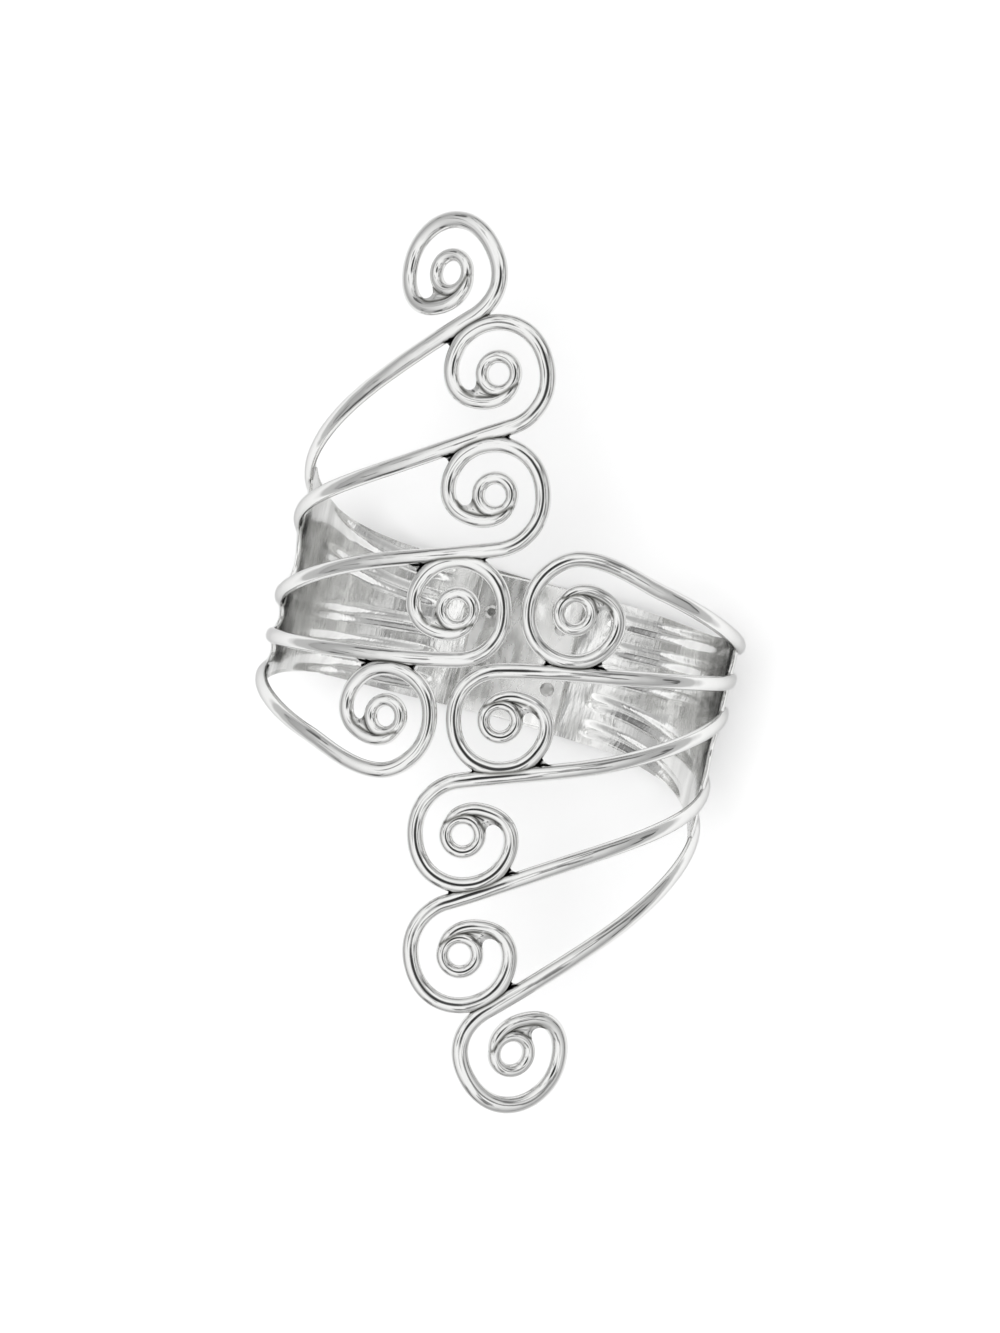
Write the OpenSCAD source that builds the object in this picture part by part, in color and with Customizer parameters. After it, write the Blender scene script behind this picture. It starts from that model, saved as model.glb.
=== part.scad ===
// Upper arm cuff of two like halves joined at the back.
// Each half has a ribbed band and five fingers that end in scrolls.
// The cuff lies on its back band, with the scrolls up.
// X runs across the cuff, Y along the arm and Z up, in millimetres.
// The second half is the first turned half round about Z.

/* [Cuff] */
// Width over the sides (mm)
cuff_w = 72; // [62:1:84]
// Depth from the back to the scrolls (mm)
cuff_d = 60; // [52:1:70]
// Length along the arm (mm)
cuff_l = 127; // [110:1:145]

/* [Fingers] */
// Strand thickness (mm)
strand_t = 1.7; // [1.3:0.1:2.2]
// Strand width (mm)
strand_w = 2.3; // [1.8:0.1:2.6]
// Scroll radius to the strand's middle (mm)
scroll_r = 7.2; // [6.6:0.1:7.4]
// Eye ring radius to the strand's middle (mm)
eye_r = 2.5; // [2.2:0.1:2.8]
// Eye ring strand width (mm)
eye_w = 1.9; // [1.6:0.1:2.1]

/* [Band] */
// Band sheet thickness (mm)
sheet_t = 0.8; // [0.6:0.1:1.2]
// Rib height over the sheet (mm)
rib_h = 0.85; // [0.5:0.05:1.2]
// Rib width (mm)
rib_w = 2.7; // [2:0.1:3.2]
// Band height at the back seam (mm)
band_h = 22.8; // [21:0.2:25]
// Distance of the rib ends from the back seam (mm)
rib_end = 12.4; // [11:0.2:13.6]
// Sheet margin beyond the outer ribs at the back (mm)
back_margin = 2.7; // [2:0.1:3.2]
// Sheet margin beyond the outer ribs at the side (mm)
side_margin = 0.7; // [0.5:0.05:0.9]

/* [Back joint] */
// Joining plate width (mm)
plate_w = 17.8; // [15:0.2:20]
// Joining plate thickness (mm)
plate_t = 0.9; // [0.6:0.1:1.4]
// Rivet shank diameter (mm)
rivet_d = 1.5; // [1.2:0.1:1.8]
// Rivet head diameter (mm)
rivet_head_d = 2.2; // [1.9:0.1:2.6]
// Rivet head height (mm)
rivet_head_t = 0.3; // [0.2:0.05:0.35]
// Rivet distance from the seam (mm)
rivet_off = 6.1; // [4.5:0.1:6.5]
// Rivet distance from the cuff's middle, up and down (mm)
rivet_up = 5; // [3:0.1:8]
// Gap between the two tabs (mm)
seam_gap = 0.4; // [0.2:0.1:0.8]
// Gap between joined faces (mm)
fit_gap = 0.08; // [0.05:0.01:0.15]
// Plate edge below the band's edge (mm)
plate_margin = 0.1; // [0.05:0.05:0.4]

/* [Hidden] */

// Columns of a scroll row: eye round, eye up, lean, size, start.
// Round is a share of a quarter of the oval, up a share of half the length.
// Lean is the strip's slope under the scroll in degrees.
// Size is a share of the scroll radius, and start the first radius as a share.
EYE_S = 0;
EYE_Y = 1;
LEAN = 2;
SIZE = 3;
START = 4;
SCROLLS = [
  [-0.362, 0.857, 42, 1.07, 0.99],
  [-0.142, 0.657, 27, 1.02, 1.08],
  [-0.069, 0.387, 17, 1.00, 1.10],
  [-0.097, 0.112, 13, 0.97, 1.04],
  [-0.236, -0.167, 3, 0.97, 1.14]
];

// Columns of a strip row: middle round, middle up, side up, side slope, rib end up, width.
// Up is a share of half the length, and width a share of the strand width.
MID_S = 0;
MID_Y = 1;
SIDE_Y = 2;
SLOPE = 3;
END_Y = 4;
WIDTH = 5;
STRIPS = [
  [-0.567, 0.562, 0.320, 28, 0.146, 1.08],
  [-0.413, 0.391, 0.203, 18, 0.077, 1.04],
  [-0.394, 0.172, 0.013, 10, 0.006, 1.02],
  [-0.433, -0.046, -0.077, 2, -0.065, 1.00],
  [-0.492, -0.255, -0.164, -9, -0.135, 1.00]
];

// Scroll radius as a share, at each eighth of a turn after the first.
COIL = [1.03, 0.975, 1.01, 1.02, 1.03, 0.965, 0.66, 0.475, 0.385, 0.345];
COIL_STEP = 45;
COIL_END = 425;

// Columns of a web row: upper finger, its place, lower finger, its turn, turn at the touch.
// A place from 2 to 3 is on the strip's last stretch, and above 3 on the scroll.
WEB_HI = 0;
WEB_PLACE = 1;
WEB_LO = 2;
WEB_TURN = 3;
WEB_TOUCH = 4;
WEBS = [
  [0, 2.62, 1, 233, 209],
  [0, 3.063, 1, 174, 188],
  [1, 2.345, 2, 236, 214],
  [1, 3.017, 2, 159, 175],
  [2, 2.19, 3, 232, 210],
  [2, 2.968, 3, 148, 160],
  [3, 2.07, 4, 224, 196],
  [3, 2.74, 4, 155, 171]
];

FINGERS = 5;
DOME_STEPS = 4;
STRIP_STEPS = 7;
COIL_STEPS = 27;
EYE_STEPS = 14;
BAND_STEPS = 12;

mid_h = strand_t / 2;
mid_a = cuff_w / 2 - mid_h;
mid_b = cuff_d / 2 - mid_h;
half_l = cuff_l / 2;
dome_side = 0.32;
base_share = 0.84;
// Band lengths in millimetres: reach under the strands, fade of the ribs, start and fade of the grooves.
band_reach = 1.2;
rib_fade = 5;
groove_start = 1.5;
groove_fade = 7.5;
// Height of a strand's root over its rib, and half the width of a solder web's edge.
root_lift = 0.2;
web_r = 0.3;
drill_l = 4 * (sheet_t + rib_h + plate_t);
// Feet stand a little over the inner face, by turns, so that no two undersides coincide.
foot_step = 0.09;
function foot(i) = foot_step * (1 + i % 2);
function crest(i) = strand_t - foot_step * (i % 2);

// Distance round the oval's middle line at each degree from the front.
function step_length(k) = norm([mid_a * (sin(k + 1) - sin(k)), mid_b * (cos(k + 1) - cos(k))]);
ROUND = [for (k = 0, s = 0; k <= 180; s = s + step_length(k), k = k + 1) [s, k]];
half_s = ROUND[180][0];
side_s = ROUND[90][0];
rib_end_s = -half_s + rib_end;
seam_s = -half_s + seam_gap / 2;
root_s = -side_s * 1.13;
lift_z = mid_b + sheet_t - mid_h;

// Point at a distance round, a distance along the arm and a height over the inner face.
function skin(s, y, h) =
  let(t = sign(s) * lookup(abs(s), ROUND))
  let(n = [sin(t) / mid_a, cos(t) / mid_b])
  let(e = n / norm(n) * (h - mid_h))
  [mid_a * sin(t) + e[0], y, mid_b * cos(t) + e[1] + lift_z];

function mix(a, b, f) = a + (b - a) * f;
function clamp(v) = max(0, min(1, v));
function ease(v) = let(f = clamp(v)) f * f * (3 - 2 * f);
function unit(v) = v / norm(v);

// Smooth curve between two points or numbers with a tangent at each.
function hermite(a, ta, b, tb, f) =
  (2 * f ^ 3 - 3 * f ^ 2 + 1) * a + (f ^ 3 - 2 * f ^ 2 + f) * ta
  + (3 * f ^ 2 - 2 * f ^ 3) * b + (f ^ 3 - f ^ 2) * tb;

// Scroll radius share at a turn, smooth through the table.
function coil_at(i, k) = k <= 0 ? SCROLLS[i][START] : COIL[min(k, len(COIL)) - 1];
function coil_slope(i, k) = (coil_at(i, k + 1) - coil_at(i, k - 1)) / 2;
function coil(i, turn) =
  let(x = turn / COIL_STEP)
  let(k = floor(x))
  hermite(coil_at(i, k), coil_slope(i, k), coil_at(i, k + 1), coil_slope(i, k + 1), x - k);

// Places on the unrolled surface are pairs of round and up.
function eye(i) = [SCROLLS[i][EYE_S] * side_s, SCROLLS[i][EYE_Y] * half_l];
function on_scroll(i, turn) =
  let(a = turn + SCROLLS[i][LEAN] - 90)
  eye(i) + scroll_r * SCROLLS[i][SIZE] * coil(i, turn) * [cos(a), sin(a)];

function side_point(i) = [-side_s, STRIPS[i][SIDE_Y] * half_l];
function mid_point(i) = [STRIPS[i][MID_S] * side_s, STRIPS[i][MID_Y] * half_l];
function side_way(i) = [cos(STRIPS[i][SLOPE]), sin(STRIPS[i][SLOPE])];
function start_way(i) = unit(on_scroll(i, 2) - on_scroll(i, 0));
function mid_way(i) =
  let(a = mid_point(i) - side_point(i))
  let(b = on_scroll(i, 0) - mid_point(i))
  unit(unit(a) * norm(b) + unit(b) * norm(a));

// The rib's line on the band, as a height for a distance round.
function rib_y(i, s) =
  let(run = -side_s - rib_end_s)
  let(f = clamp((s - rib_end_s) / run))
  let(slope = tan(STRIPS[i][SLOPE]))
  let(y_end = STRIPS[i][END_Y] * half_l)
  let(y_side = STRIPS[i][SIDE_Y] * half_l)
  hermite(y_end, 0, y_side, slope * run, f);

// The strand's middle line: 0 to 1 on the rib, to 2 and 3 on the strip, then the scroll.
function on_strip(i, u) =
  let(a = side_point(i))
  let(b = mid_point(i))
  let(c = on_scroll(i, 0))
  u <= 1 ? let(s = mix(root_s, -side_s, u)) [s, rib_y(i, s)]
  : u <= 2 ? hermite(a, side_way(i) * norm(b - a), b, mid_way(i) * norm(b - a), u - 1)
  : u <= 3 ? hermite(b, mid_way(i) * norm(c - b), c, start_way(i) * norm(c - b), u - 2)
  : on_scroll(i, (u - 3) * COIL_END);

function path_steps(i) = concat(
  [0, 0.5],
  [for (k = [0 : STRIP_STEPS - 1]) 1 + k / STRIP_STEPS],
  [for (k = [0 : STRIP_STEPS - 1]) 2 + k / STRIP_STEPS],
  [for (k = [0 : COIL_STEPS]) 3 + k / COIL_STEPS]
);

// Domed profile as shares of width and height, from one foot over the top to the other.
PROFILE = concat(
  [for (k = [0 : DOME_STEPS])
    [-0.5 * cos(180 * k / DOME_STEPS), dome_side + (1 - dome_side) * sin(180 * k / DOME_STEPS)]],
  [[0.5 * base_share, 0], [-0.5 * base_share, 0]]
);

// One section of a strand: place, way, width, foot height and crest height.
function section(p, way, w, lo, hi) = [
  for (q = PROFILE) skin(p[0] - way[1] * q[0] * w, p[1] + way[0] * q[0] * w, mix(lo, hi, q[1]))
];

function width_at(i, u) =
  let(full = strand_w * STRIPS[i][WIDTH])
  let(coiled = mix(full, eye_w, ease((u - 3.5) / 0.35)))
  u < 1 ? mix(full * 0.7, full, u) : mix(coiled, eye_w * 0.7, ease((u - 3.86) / 0.14));

function strand_section(i, u) =
  let(p = on_strip(i, u))
  let(e = 0.004)
  let(way = unit(on_strip(i, min(u + e, 4)) - on_strip(i, max(u - e, 0))))
  let(lo = u < 1 ? mix(rib_h + root_lift, foot(i), u) : foot(i))
  let(hi = crest(i) * (u < 1 ? mix(0.86, 1, u) : mix(1, 0.9, ease((u - 3.86) / 0.14))))
  section(p, way, width_at(i, u), lo, hi);

// Solid through a list of sections, each with the same number of points.
module loft(rings, closed = false) {
  n = len(rings[0]);
  m = len(rings);
  last = closed ? m - 1 : m - 2;
  sides = [
    for (i = [0 : last], j = [0 : n - 1])
      let(a = i * n + j)
      let(b = i * n + (j + 1) % n)
      let(c = ((i + 1) % m) * n + (j + 1) % n)
      let(d = ((i + 1) % m) * n + j)
      each [[a, b, c], [a, c, d]]
  ];
  ends = closed ? [] : [[for (j = [n - 1 : -1 : 0]) j], [for (j = [0 : n - 1]) (m - 1) * n + j]];
  polyhedron([for (r = rings) each r], concat(sides, ends), convexity = 8);
}

// A finger: its strand from the rib to the eye, and the eye ring.
module finger(i) {
  loft([for (u = path_steps(i)) strand_section(i, u)]);
  loft([
    for (k = [0 : EYE_STEPS - 1])
      let(a = 360 * k / EYE_STEPS)
      let(r = eye_r * SCROLLS[i][SIZE])
      section(eye(i) + r * [cos(a), sin(a)], [-sin(a), cos(a)], eye_w, foot_step / 2, strand_t - foot_step / 2)
  ], closed = true);
}

// Low peg on the skin, for the solder webs.
module peg(p) {
  rings = [
    for (h = [0.1, 0.62] * strand_t)
      [for (k = [0 : 5]) skin(p[0] + web_r * cos(60 * k), p[1] - web_r * sin(60 * k), h)]
  ];
  loft(rings);
}

// Solder web that fills the notch where a strip meets the scroll under it.
module web(row) {
  hull() {
    peg(on_strip(row[WEB_HI], row[WEB_PLACE]));
    peg(on_scroll(row[WEB_LO], row[WEB_TURN]));
    peg(on_scroll(row[WEB_LO], row[WEB_TOUCH]));
  }
}

// Rib bump across the band, at shares of half the rib's width.
BUMP_AT = [-1, -0.55, 0, 0.55, 1];
BUMP_UP = [0, 0.72, 1, 0.72, 0];

// Columns across the band: rib, offset share, bump and notch depth.
function rib_gap(i) = (STRIPS[i][SIDE_Y] - STRIPS[i + 1][SIDE_Y]) * half_l;
BAND_COLUMNS = concat(
  [[0, undef, 0, 0]],
  [for (i = [0 : FINGERS - 1]) each concat(
    [for (k = [4 : -1 : 0]) [i, BUMP_AT[k], BUMP_UP[k], 0]],
    i < FINGERS - 1 ? [[i + 0.5, 0, 0, 0.3 * rib_gap(i)]] : []
  )],
  [[FINGERS - 1, undef, 0, 0]]
);

function edge_y(top, s) =
  let(f = clamp((s - rib_end_s) / (-side_s - rib_end_s)))
  let(tab = clamp((s - seam_s) / (rib_end_s - seam_s)))
  let(way = top ? 1 : -1)
  let(edge = rib_y(top ? 0 : FINGERS - 1, s) + way * mix(back_margin, side_margin, ease(f)))
  mix(way * band_h / 2, edge, tab);

function column_y(c, s) =
  is_undef(c[1]) ? edge_y(c[0] == 0, s)
  : c[0] == floor(c[0]) ? rib_y(c[0], s) + c[1] * rib_w / 2
  : (rib_y(floor(c[0]), s) + rib_y(ceil(c[0]), s)) / 2;

function band_point(c, f, outer) =
  let(s = mix(-side_s + band_reach - c[3] * (1 - f) ^ 2, seam_s, f))
  let(fade = rib_h * ease((s - rib_end_s) / rib_fade))
  let(rise = fade * mix(0.45, 1, ease(f / 0.08)))
  let(dip = fade * ease((-side_s - groove_start - s) / groove_fade))
  skin(s, column_y(c, s), outer ? sheet_t + rise * c[2] : dip * c[2] ^ 1.6);

// The band of one half: a ribbed sheet with notches between the fingers.
module band() {
  n = len(BAND_COLUMNS) - 1;
  loft([
    for (i = [0 : BAND_STEPS])
      let(f = i / BAND_STEPS)
      concat(
        [for (j = [0 : n]) band_point(BAND_COLUMNS[j], f, true)],
        [for (j = [n : -1 : 0]) band_point(BAND_COLUMNS[j], f, false)]
      )
  ]);
}

// Moves its children to a rivet's place, with their Z outward from the skin.
module at_rivet(side, up) {
  p = skin(side * (half_s - rivet_off), up * rivet_up, 0);
  q = skin(side * (half_s - rivet_off), up * rivet_up, 1);
  translate(p) rotate([0, atan2(q[0] - p[0], q[2] - p[2]), 0]) children();
}

module rivet_holes() {
  for (side = [-1, 1], up = [-1, 1]) {
    at_rivet(side, up) cylinder(h = drill_l, d = rivet_d + 2 * fit_gap, center = true, $fn = 24);
  }
}

module half() {
  union() {
    difference() {
      band();
      rivet_holes();
    }
    for (i = [0 : FINGERS - 1]) finger(i);
    for (row = WEBS) web(row);
  }
}

module left_half() {
  color("silver") half();
}

module right_half() {
  color("silver") rotate([0, 0, 180]) half();
}

// The curved plate on the inner side that bridges the seam.
module joining_plate() {
  steps = 10;
  color("lightgray") difference() {
    loft([
      for (k = [0 : steps])
        let(off = plate_w * (0.5 - k / steps))
        let(s = off < 0 ? -half_s - off : half_s - off)
        [
          skin(s, band_h / 2 - plate_margin, -fit_gap),
          skin(s, band_h / 2 - plate_margin, -fit_gap - plate_t),
          skin(s, -band_h / 2 + plate_margin, -fit_gap - plate_t),
          skin(s, -band_h / 2 + plate_margin, -fit_gap)
        ]
    ]);
    rivet_holes();
  }
}

// A rivet through the plate and the tab, with a low head at each end.
module rivet(side, up) {
  inner = -plate_t - 2 * fit_gap;
  outer = sheet_t + fit_gap;
  r = rivet_d / 2;
  head_r = rivet_head_d / 2;
  color("gainsboro") at_rivet(side, up) rotate_extrude($fn = 48) polygon([
    [0, inner - rivet_head_t],
    [head_r * 0.6, inner - rivet_head_t],
    [head_r, inner - rivet_head_t * 0.4],
    [head_r, inner],
    [r, inner],
    [r, outer],
    [head_r, outer],
    [head_r, outer + rivet_head_t * 0.4],
    [head_r * 0.6, outer + rivet_head_t],
    [0, outer + rivet_head_t]
  ]);
}

module left_upper_rivet() {
  rivet(-1, 1);
}

module left_lower_rivet() {
  rivet(-1, -1);
}

module right_upper_rivet() {
  rivet(1, 1);
}

module right_lower_rivet() {
  rivet(1, -1);
}

left_half();
right_half();
joining_plate();
left_upper_rivet();
left_lower_rivet();
right_upper_rivet();
right_lower_rivet();
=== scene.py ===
"""Looks of an upper arm cuff: two ribbed half bands with scrolled fingers, a joining plate and its rivets."""

import logging
from dataclasses import dataclass, field
from enum import Enum
from functools import cached_property
from math import cos, pi, radians, sin
from typing import Any, Sequence

import bmesh
import bpy
import numpy as np
from mathutils import Matrix, Vector
from mathutils.kdtree import KDTree


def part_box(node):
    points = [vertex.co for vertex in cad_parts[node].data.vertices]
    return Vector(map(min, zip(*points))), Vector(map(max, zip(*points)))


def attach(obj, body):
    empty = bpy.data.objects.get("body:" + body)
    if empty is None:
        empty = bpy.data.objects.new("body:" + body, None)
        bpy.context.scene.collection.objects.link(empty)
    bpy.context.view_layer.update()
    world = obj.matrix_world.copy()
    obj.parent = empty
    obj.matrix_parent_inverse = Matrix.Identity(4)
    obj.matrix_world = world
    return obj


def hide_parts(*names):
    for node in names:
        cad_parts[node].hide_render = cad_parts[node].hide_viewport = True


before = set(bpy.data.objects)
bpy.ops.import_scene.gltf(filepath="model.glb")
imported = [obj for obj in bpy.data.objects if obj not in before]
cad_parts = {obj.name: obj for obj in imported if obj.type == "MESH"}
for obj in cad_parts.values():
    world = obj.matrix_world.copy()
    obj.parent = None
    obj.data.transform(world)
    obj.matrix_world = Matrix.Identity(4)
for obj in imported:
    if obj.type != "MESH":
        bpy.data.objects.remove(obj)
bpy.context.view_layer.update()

MM = 0.001
# Numbers on the surface that only the node trees need.
SPENT = ("width", "foot", "crest", "lift", "axis")
LOG = logging.getLogger("cuff")

Points = np.ndarray
Values = float | np.ndarray
Edge = tuple[int, int]
Face = list[int]
Column = tuple[float, float]
Range = tuple[float, float]
Triple = tuple[float, float, float]
Stops = Sequence[tuple[float, float]]
Piece = bpy.types.Object
Material = bpy.types.Material
Socket = bpy.types.NodeSocket
Node = bpy.types.Node
Feed = float | str | Sequence[float] | Socket
Feeds = dict[str | int, Feed]


class Half(Enum):
    """The two like halves of the cuff, named as the front is seen."""

    LEFT = "left"
    RIGHT = "right"

    @property
    def turn(self) -> float:
        """Turn about the line from the back to the front, in radians."""
        return 0.0 if self is Half.LEFT else pi

    @property
    def side(self) -> int:
        """Sign of the half's distance round at the back seam."""
        return -1 if self is Half.LEFT else 1

    @property
    def body(self) -> str:
        """Name of the half's body in the looks."""
        return f"{self.value}_half_body"


class Level(Enum):
    """The upper and lower rivet of a half."""

    UPPER = "upper"
    LOWER = "lower"

    @property
    def sign(self) -> int:
        """Sign of the rivet's place along the arm."""
        return 1 if self is Level.UPPER else -1


def mix(low: Values, high: Values, share: Values) -> Values:
    """Value between two others at a share of the way."""
    return low + (high - low) * share


def ease(share: Values) -> Values:
    """Share of the way, clamped and smoothed at both ends."""
    share = np.clip(share, 0.0, 1.0)
    return share * share * (3 - 2 * share)


def hermite(a: Values, way_a: Values, b: Values, way_b: Values, share: Values) -> Values:
    """Smooth curve between two values with a tangent at each.

    Args:
        a: The first value.
        way_a: The tangent there.
        b: The second value.
        way_b: The tangent there.
        share: Share of the way.

    Returns:
        The value at that share.
    """
    f = share
    start = (2 * f**3 - 3 * f**2 + 1) * a + (f**3 - 2 * f**2 + f) * way_a
    return start + (3 * f**2 - 2 * f**3) * b + (f**3 - f**2) * way_b


def unit(way: Points) -> Points:
    """The direction of a vector."""
    return way / np.linalg.norm(way)


@dataclass(frozen=True)
class Metal:
    """Driving sizes of the cast metal, in metres, and the side wall's share of a strand's height."""

    cuff_long: float = 127 * MM
    strand_thick: float = 1.7 * MM
    strand_wide: float = 2.3 * MM
    strand_side: float = 0.32
    foot_step: float = 0.09 * MM
    scroll_radius: float = 7.2 * MM
    eye_radius: float = 2.5 * MM
    eye_wide: float = 1.9 * MM
    sheet_thick: float = 0.8 * MM
    rib_high: float = 0.85 * MM
    rib_wide: float = 2.7 * MM
    band_high: float = 22.8 * MM
    rib_end: float = 12.4 * MM
    seam_gap: float = 0.4 * MM
    fit_gap: float = 0.08 * MM
    plate_wide: float = 17.8 * MM
    plate_thick: float = 0.9 * MM
    rivet_shank: float = 1.5 * MM
    rivet_round: float = 6.1 * MM
    rivet_up: float = 5.0 * MM


@dataclass(frozen=True)
class Oval:
    """The middle line of the cuff's wall, an oval round the arm, with places measured along it.

    A place on the unrolled surface is a distance round from the front, a distance along the arm and a height
    over the inner face.
    """

    half_wide: float
    half_deep: float
    centre_up: float
    mid_height: float
    steps: int = 1440
    overrun: float = 1.25

    @classmethod
    def from_frame(cls, metal: Metal) -> "Oval":
        """Reads the oval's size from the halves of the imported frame.

        Args:
            metal: Driving sizes, of which the strand and the sheet set the wall.

        Returns:
            The oval that both halves are wrapped on.
        """
        left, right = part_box("left_half"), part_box("right_half")
        mid = metal.strand_thick / 2
        half_deep = (left[1].z - metal.sheet_thick) / 2
        return cls(
            half_wide=(right[1].x - left[0].x) / 2 - mid,
            half_deep=half_deep,
            centre_up=half_deep + metal.sheet_thick - mid,
            mid_height=mid,
        )

    @cached_property
    def table(self) -> tuple[Points, Points]:
        """Measures the oval.

        Returns:
            Distances round from the front to the back, and the angle at each.
        """
        angle = np.linspace(0, pi, self.steps + 1)
        line = np.stack([self.half_wide * np.sin(angle), self.half_deep * np.cos(angle)], axis=1)
        length = np.linalg.norm(np.diff(line, axis=0), axis=1)
        return np.concatenate([[0.0], np.cumsum(length)]), angle

    @property
    def half(self) -> float:
        """Distance round from the front to the back."""
        return float(self.table[0][-1])

    @property
    def quarter(self) -> float:
        """Distance round from the front to the side."""
        return float(np.interp(pi / 2, self.table[1], self.table[0]))

    @property
    def rail_start(self) -> float:
        """Distance round at the first point of the rail, which overruns the back on both sides."""
        return -self.half * self.overrun

    def skin(self, around: Values, along: Values, height: Values) -> Points:
        """Points in the frame for places on the unrolled surface.

        Args:
            around: Distances round from the front.
            along: Distances along the arm.
            height: Heights over the inner face.

        Returns:
            One row of x, y and z for each place.
        """
        around, along, height = np.broadcast_arrays(around, along, height)
        wrapped = (around + self.half) % (2 * self.half) - self.half
        angle = np.sign(wrapped) * np.interp(np.abs(wrapped), *self.table)
        out = np.stack([np.sin(angle) / self.half_wide, np.cos(angle) / self.half_deep], axis=-1)
        out *= ((height - self.mid_height) / np.linalg.norm(out, axis=-1))[..., None]
        x = self.half_wide * np.sin(angle) + out[..., 0]
        z = self.half_deep * np.cos(angle) + out[..., 1] + self.centre_up
        return np.stack([x, along, z], axis=-1)

    def rail(self) -> Piece:
        """Makes the oval as a line of evenly spaced points, which the node trees wrap pieces on."""
        around = np.linspace(self.rail_start, -self.rail_start, self.steps + 1)
        return line_object("oval_rail", self.skin(around, 0.0, self.mid_height), False, {})


def add_object(name: str, data: Any) -> Piece:
    """Puts new data in the scene as an object at the origin.

    Args:
        name: The object's name.
        data: Its mesh, camera or light.

    Returns:
        The new object.
    """
    made = bpy.data.objects.new(name, data)
    bpy.context.scene.collection.objects.link(made)
    return made


def shape_object(
    name: str, points: Points, edges: list[Edge], faces: list[Face], numbers: dict[str, Points]
) -> Piece:
    """Makes an object of edges or faces with a number of each name at every point.

    Args:
        name: The object's name.
        points: One row for each point.
        edges: The point numbers of each edge.
        faces: The point numbers of each face.
        numbers: For each name, the number at every point.

    Returns:
        The new object.
    """
    mesh = bpy.data.meshes.new(name)
    mesh.from_pydata(points.tolist(), edges, faces)
    for key, values in numbers.items():
        attribute = mesh.attributes.new(key, "FLOAT", "POINT")
        attribute.data.foreach_set("value", values.astype(np.float32))
    return add_object(name, mesh)


def line_object(name: str, points: Points, closed: bool, numbers: dict[str, Points]) -> Piece:
    """Makes an object of one plain line.

    Args:
        name: The object's name.
        points: The points along the line.
        closed: Whether the line ends where it starts.
        numbers: For each name, the number at every point.

    Returns:
        The new object.
    """
    last = len(points) - 1
    edges = [(k, k + 1) for k in range(last)]
    edges += [(last, 0)] if closed else []
    return shape_object(name, points, edges, [], numbers)


def slab_faces(rows: int, columns: int) -> list[Face]:
    """Faces of a slab whose top and bottom are grids of the same size, listed one after the other.

    Args:
        rows: Rows of points in a grid.
        columns: Points in a row.

    Returns:
        The point numbers of each face, outward.
    """
    layer = rows * columns
    top = np.arange(layer).reshape(rows, columns)
    upper = np.stack([top[:-1, :-1], top[:-1, 1:], top[1:, 1:], top[1:, :-1]], axis=-1).reshape(-1, 4)
    both = np.stack([upper, upper[:, ::-1] + layer], axis=1).reshape(-1, 4)
    rim = np.concatenate([top[0], top[1:, -1], top[-1, -2::-1], top[-2:0:-1, 0]])
    onward = np.roll(rim, -1)
    wall = np.stack([onward, rim, rim + layer, onward + layer], axis=1)
    return np.concatenate([both, wall]).tolist()


def slab_object(name: str, flat: Points, top: Points, low: Points, rise: Points) -> Piece:
    """Makes a slab between two heights on a grid of unrolled places.

    Args:
        name: The object's name.
        flat: Distance round and along the arm at each place.
        top: The upper height at each place.
        low: The lower height at each place.
        rise: How clear each place is of painted shade and tarnish, from 0 to 1.

    Returns:
        The new object.
    """
    layers = [np.concatenate([flat, height[..., None]], axis=2).reshape(-1, 3) for height in (top, low)]
    points = np.concatenate(layers)
    numbers = {"lift": np.zeros(len(points)), "rise": np.tile(rise.ravel(), 2)}
    return shape_object(name, points, [], slab_faces(*top.shape), numbers)


class Graph:
    """Adds nodes to a node tree, with short calls for those that shapes and finishes share."""

    def __init__(self, tree: bpy.types.NodeTree) -> None:
        """Takes the tree to work on."""
        self.tree = tree

    def fill(self, node: Node, inputs: Feeds) -> None:
        """Links or sets a node's inputs.

        Args:
            node: The node.
            inputs: Sockets to link or values to set, by the input's name or number.
        """
        for key, value in inputs.items():
            if isinstance(value, Socket):
                self.tree.links.new(value, node.inputs[key])
            else:
                node.inputs[key].default_value = value

    def add(self, kind: str, inputs: Feeds | None = None, **settings: Any) -> Node:
        """Adds a node.

        Args:
            kind: The node's type.
            inputs: Sockets to link or values to set, by the input's name or number.
            settings: The node's own properties.

        Returns:
            The new node.
        """
        node = self.tree.nodes.new(kind)
        for key, value in settings.items():
            setattr(node, key, value)
        self.fill(node, inputs or {})
        return node

    def math(self, operation: str, *values: Feed) -> Socket:
        """Adds a sum of numbers and returns its result."""
        return self.add("ShaderNodeMath", dict(enumerate(values)), operation=operation).outputs[0]

    def vector(self, operation: str, *values: Feed) -> Socket:
        """Adds a sum of vectors and returns its result."""
        return self.add("ShaderNodeVectorMath", dict(enumerate(values)), operation=operation).outputs[0]

    def measure(self, operation: str, *values: Feed) -> Socket:
        """Adds a sum of vectors whose result is a number, such as a length."""
        node = self.add("ShaderNodeVectorMath", dict(enumerate(values)), operation=operation)
        return node.outputs["Value"]

    def mixed(self, low: Feed, high: Feed, share: Feed) -> Socket:
        """Adds a number between two others at a share of the way, by the inputs that a number uses."""
        inputs = {0: share, 2: low, 3: high}
        return self.add("ShaderNodeMix", inputs, data_type="FLOAT", clamp_factor=False).outputs[0]

    def split(self, vector: Socket) -> Sequence[Socket]:
        """The three numbers of a vector."""
        return self.add("ShaderNodeSeparateXYZ", {0: vector}).outputs

    def join(self, *numbers: Feed) -> Socket:
        """The vector of three numbers."""
        return self.add("ShaderNodeCombineXYZ", dict(enumerate(numbers))).outputs[0]


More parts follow.
